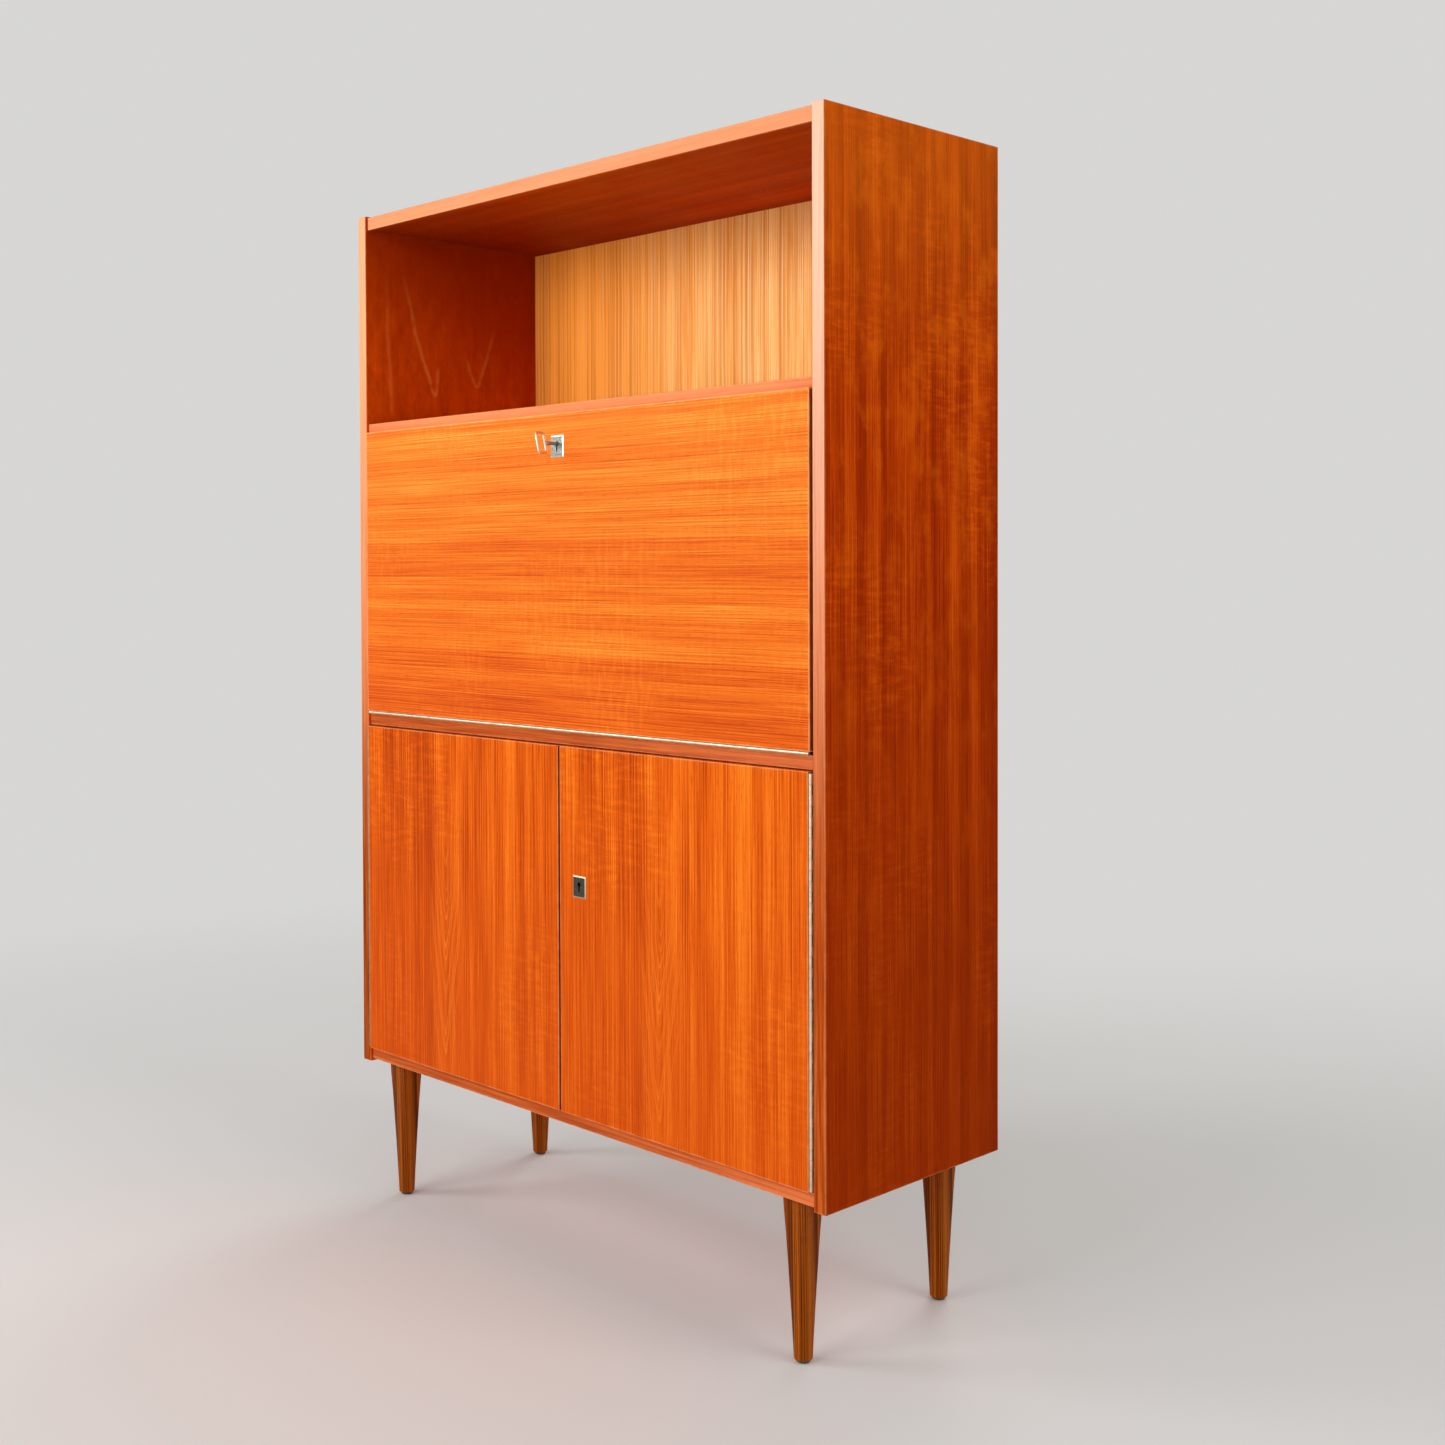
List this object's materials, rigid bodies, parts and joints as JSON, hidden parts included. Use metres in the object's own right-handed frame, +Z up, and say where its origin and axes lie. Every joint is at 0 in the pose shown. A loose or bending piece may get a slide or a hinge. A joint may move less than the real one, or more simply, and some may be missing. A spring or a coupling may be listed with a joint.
{
  "type": "secretary desk",
  "caption": "Tall secretary desk on tapered legs: open display shelf, fall-front writing flap with a key in its lock, and a two-door cupboard below.",
  "frame": {"origin": "on the floor under the middle of the whole object's box, key included", "axes": "+Z up, +X to the right as seen from the front, -Y out of the front"},
  "size_m": [1, 0.391, 1.564],
  "materials": {
    "teak_sides": "satin vertical teak veneer, red-brown ribbon stripe",
    "teak_flap": "satin horizontal teak veneer, bright orange-brown",
    "teak_doors": "satin vertical teak veneer, bright orange-brown",
    "teak_boards": "satin horizontal teak veneer and lipping",
    "back_veneer": "straight-striped light veneer, satin",
    "leg_wood": "dark stained solid wood, satin",
    "pale_wood": "plain pale wood, matt",
    "nickel": "aged nickel plate",
    "steel": "plain zinc-plated steel",
    "brass": "plain brass",
    "black_plastic": "black moulded plastic"
  },
  "bodies": {
    "carcass": {"side_panel_left": "teak_sides", "side_panel_right": "teak_sides", "top_panel": "teak_boards", "display_shelf": "teak_boards", "desk_board": "teak_boards", "bottom_panel": "teak_boards", "back_panel": "back_veneer", "desk_hinge_leaf": "nickel", "flap_hinge_pin": "steel", "stay_stud_left": "nickel", "stay_stud_right": "nickel", "left_side_hinge_leaf": "nickel", "left_door_hinge_pin": "steel", "right_side_hinge_leaf": "nickel", "right_door_hinge_pin": "steel", "cupboard_shelf": "pale_wood", "inner_shelf": "teak_boards", "divider_left": "teak_boards", "divider_right": "teak_boards", "leg_front_left": "leg_wood", "leg_bolt_front_left": "steel", "glide_front_left": "black_plastic", "leg_front_right": "leg_wood", "leg_bolt_front_right": "steel", "glide_front_right": "black_plastic", "leg_rear_left": "leg_wood", "leg_bolt_rear_left": "steel", "glide_rear_left": "black_plastic", "leg_rear_right": "leg_wood", "leg_bolt_rear_right": "steel", "glide_rear_right": "black_plastic", "shelf_pin_front_left": "steel", "shelf_pin_front_right": "steel", "shelf_pin_rear_left": "steel", "shelf_pin_rear_right": "steel"},
    "flap": {"flap_panel": "teak_flap", "flap_hinge_leaf": "nickel", "flap_lock_case": "steel", "flap_escutcheon": "nickel", "stay_bracket_left": "nickel", "stay_bracket_right": "nickel"},
    "flap_bolt": {"flap_lock_bolt": "brass"},
    "flap_key": {"flap_key": "nickel"},
    "stay_left": {"stay_bar_left": "nickel"},
    "stay_right": {"stay_bar_right": "nickel"},
    "right_door": {"right_door_panel": "teak_doors", "right_door_hinge_leaf": "nickel", "door_lock_case": "steel", "door_escutcheon": "nickel"},
    "door_bolt": {"door_lock_bolt": "brass"},
    "left_door": {"left_door_panel": "teak_doors", "left_door_hinge_leaf": "nickel", "left_bolt_housing": "nickel"},
    "left_bolt": {"left_bolt_bar": "nickel"},
    "drawer_left": {"drawer_tray_left": "pale_wood", "drawer_front_left": "teak_boards", "drawer_knob_left": "nickel"},
    "drawer_right": {"drawer_tray_right": "pale_wood", "drawer_front_right": "teak_boards", "drawer_knob_right": "nickel"}
  },
  "joints": [
    {"name": "flap_hinge", "type": "hinge", "parent": "carcass", "child": "flap", "pos_m": [0, -0.1554, 0.7728], "axis": [1, 0, 0], "range_deg": [0, 90]},
    {"name": "stay_left_pivot", "type": "hinge", "parent": "flap", "child": "stay_left", "pos_m": [-0.47, -0.1285, 0.93255], "axis": [1, 0, 0], "range_deg": [-45, 0]},
    {"name": "stay_right_pivot", "type": "hinge", "parent": "flap", "child": "stay_right", "pos_m": [0.47, -0.1285, 0.93255], "axis": [1, 0, 0], "range_deg": [-45, 0]},
    {"name": "flap_key_turn", "type": "hinge", "parent": "flap", "child": "flap_key", "pos_m": [0, -0.1575, 1.176], "axis": [0, 1, 0], "range_deg": [0, 180]},
    {"name": "flap_bolt_slide", "type": "slide", "parent": "flap", "child": "flap_bolt", "axis": [0, 0, 1], "range_m": [0, 0.009]},
    {"name": "right_door_hinge", "type": "hinge", "parent": "carcass", "child": "right_door", "pos_m": [0.4776, -0.1564, 0.233], "axis": [0, 0, 1], "range_deg": [0, 165]},
    {"name": "left_door_hinge", "type": "hinge", "parent": "carcass", "child": "left_door", "pos_m": [-0.4776, -0.1564, 0.233], "axis": [0, 0, -1], "range_deg": [0, 165]},
    {"name": "door_bolt_slide", "type": "slide", "parent": "right_door", "child": "door_bolt", "axis": [-1, 0, 0], "range_m": [0, 0.009]},
    {"name": "left_bolt_slide", "type": "slide", "parent": "left_door", "child": "left_bolt", "axis": [0, 0, 1], "range_m": [0, 0.008]},
    {"name": "drawer_left_slide", "type": "slide", "parent": "carcass", "child": "drawer_left", "axis": [0, -1, 0], "range_m": [0, 0.1]},
    {"name": "drawer_right_slide", "type": "slide", "parent": "carcass", "child": "drawer_right", "axis": [0, -1, 0], "range_m": [0, 0.1]}
  ],
  "couplings": [
    {"joint": "stay_left_pivot", "follows": "flap_hinge", "ratio": -0.5},
    {"joint": "stay_right_pivot", "follows": "flap_hinge", "ratio": -0.5},
    {"joint": "flap_key_turn", "follows": "flap_bolt_slide", "rad_per_m": 349.07}
  ]
}
